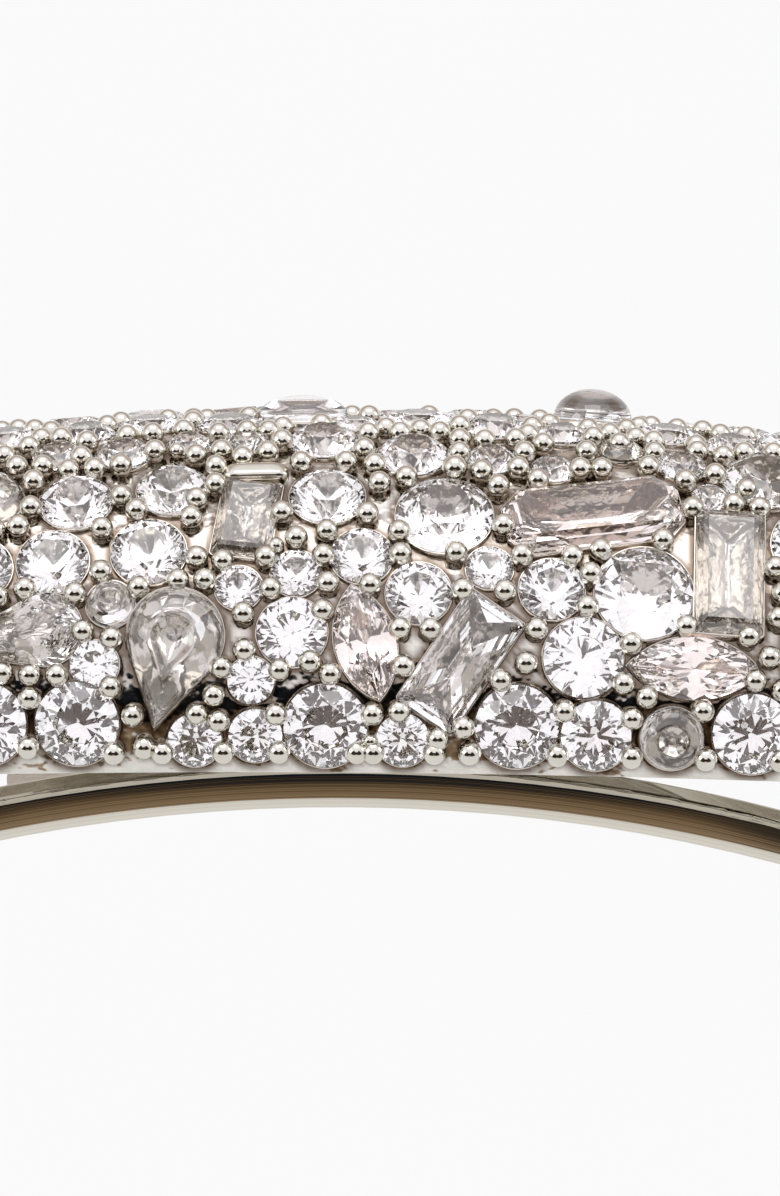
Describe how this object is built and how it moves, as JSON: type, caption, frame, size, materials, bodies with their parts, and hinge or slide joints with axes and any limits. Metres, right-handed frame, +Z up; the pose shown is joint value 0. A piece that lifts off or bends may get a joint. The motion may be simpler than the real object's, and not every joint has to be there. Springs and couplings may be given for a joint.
{
  "type": "rhinestone hair clip",
  "caption": "Domed bar barrette paved with mixed-cut clear stones in ball prongs, on a sprung metal clip with a hinged arm, tension leaf and squeeze catch.",
  "frame": {"origin": "centre of the footprint, at the height of the lowest points of the clip", "axes": "+X along the bar from the catch to the hinge, +Y from the front of the bar to its back, +Z up through the dome"},
  "size_m": [0.0828, 0.0162, 0.0176],
  "materials": {
    "cast_metal": "polished warm white plating",
    "arm_metal": "polished",
    "strip_metal": "bright rolled strip",
    "spring_metal": "bright rolled spring strip",
    "rivet_metal": "polished",
    "clear_stone": "polished facets",
    "blush_stone": "polished facets, faint blush"
  },
  "bodies": {
    "bar": {"dome_shell": "cast_metal", "back_plate": "cast_metal", "mount_pad": "cast_metal", "base_rivets": "rivet_metal", "clip_base": "strip_metal", "hinge_pin": "rivet_metal", "leaf_anchor_tab": "spring_metal", "leaf_rivet": "rivet_metal", "catch_saddle": "strip_metal", "catch_rivet": "rivet_metal", "round_stones_large": "clear_stone", "round_stones_medium": "clear_stone", "round_stones_small": "clear_stone", "round_stones_tiny": "clear_stone", "pear_stones": "clear_stone", "baguette_stones": "clear_stone", "step_cut_stone": "clear_stone", "oval_stones": "clear_stone", "cabochon_stones": "clear_stone", "marquise_stones": "clear_stone", "radiant_stone": "blush_stone"},
    "arm": {"clip_arm": "arm_metal"},
    "leaf": {"tension_leaf": "spring_metal"},
    "front_wing": {"squeeze_wing_front": "spring_metal"},
    "back_wing": {"squeeze_wing_back": "spring_metal"}
  },
  "joints": [
    {"name": "arm_hinge", "type": "hinge", "parent": "bar", "child": "arm", "pos_m": [0.027, 0, 0.0011], "axis": [0, -1, 0], "range_deg": [0, 70]},
    {"name": "leaf_flex", "type": "hinge", "parent": "bar", "child": "leaf", "pos_m": [0.0183, 0, 0.00735], "axis": [0, 1, 0], "range_deg": [0, 3], "stiffness_Nm_per_rad": 0.2},
    {"name": "front_wing_squeeze", "type": "hinge", "parent": "bar", "child": "front_wing", "pos_m": [-0.0269, -0.0023, 0.003], "axis": [1, 0, 0], "range_deg": [0, 8], "stiffness_Nm_per_rad": 0.04},
    {"name": "back_wing_squeeze", "type": "hinge", "parent": "bar", "child": "back_wing", "pos_m": [-0.0269, 0.0023, 0.003], "axis": [-1, 0, 0], "range_deg": [0, 8], "stiffness_Nm_per_rad": 0.04}
  ]
}
